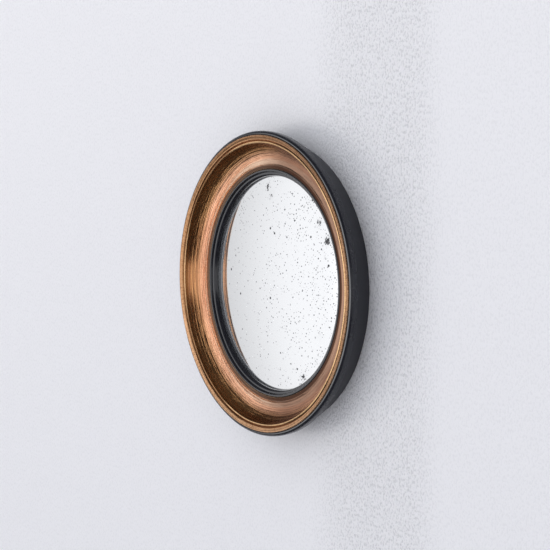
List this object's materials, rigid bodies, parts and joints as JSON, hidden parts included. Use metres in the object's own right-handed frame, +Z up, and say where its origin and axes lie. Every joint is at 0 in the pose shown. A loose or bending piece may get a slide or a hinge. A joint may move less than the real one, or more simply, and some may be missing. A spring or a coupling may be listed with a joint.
{
  "type": "convex wall mirror",
  "caption": "Round convex butlers mirror: gilded scoop moulding with black outer roll and inner slip round antiqued domed glass.",
  "frame": {"origin": "centre of the frame's back, in the plane of the wall", "axes": "-Y out of the wall, the way the mirror looks; +Z up; +X to the right as one faces the mirror"},
  "size_m": [0.3, 0.032, 0.3],
  "materials": {
    "gilded_timber": "red-gold leaf over dark bole on the scoop and flat, black lacquer on the outer roll",
    "ebonised_timber": "satin black lacquer",
    "silvered_glass": "silvered behind, foxed",
    "felt": "pressed wool felt",
    "foam": "closed-cell foam",
    "hardboard": "tempered hardboard, smooth side out",
    "brass": "tumbled brass",
    "brass_screws": "bright turned brass",
    "plated_steel": "bright zinc plate",
    "steel_screws": "yellow passivated steel"
  },
  "bodies": {
    "frame": {"front_moulding": "gilded_timber", "carcass_ring": "ebonised_timber", "inner_slip": "ebonised_timber", "convex_glass": "silvered_glass", "glass_seat_felt": "felt", "foam_packing_ring": "foam", "back_board": "hardboard", "turn_button_screws": "brass_screws", "keyhole_hanger": "plated_steel", "hanger_screws": "plated_steel", "moulding_screws": "steel_screws", "wall_pads": "felt"},
    "turn_button_upper_right_body": {"turn_button_upper_right": "brass"},
    "turn_button_upper_left_body": {"turn_button_upper_left": "brass"},
    "turn_button_lower_left_body": {"turn_button_lower_left": "brass"},
    "turn_button_lower_right_body": {"turn_button_lower_right": "brass"}
  },
  "joints": [
    {"name": "turn_button_upper_right_pivot", "type": "hinge", "parent": "frame", "child": "turn_button_upper_right_body", "pos_m": [0.0845, -0.0026, 0.0845], "axis": [0, 1, 0], "continuous": true},
    {"name": "turn_button_upper_left_pivot", "type": "hinge", "parent": "frame", "child": "turn_button_upper_left_body", "pos_m": [-0.0845, -0.0026, 0.0845], "axis": [0, 1, 0], "continuous": true},
    {"name": "turn_button_lower_left_pivot", "type": "hinge", "parent": "frame", "child": "turn_button_lower_left_body", "pos_m": [-0.0845, -0.0026, -0.0845], "axis": [0, 1, 0], "continuous": true},
    {"name": "turn_button_lower_right_pivot", "type": "hinge", "parent": "frame", "child": "turn_button_lower_right_body", "pos_m": [0.0845, -0.0026, -0.0845], "axis": [0, 1, 0], "continuous": true}
  ]
}
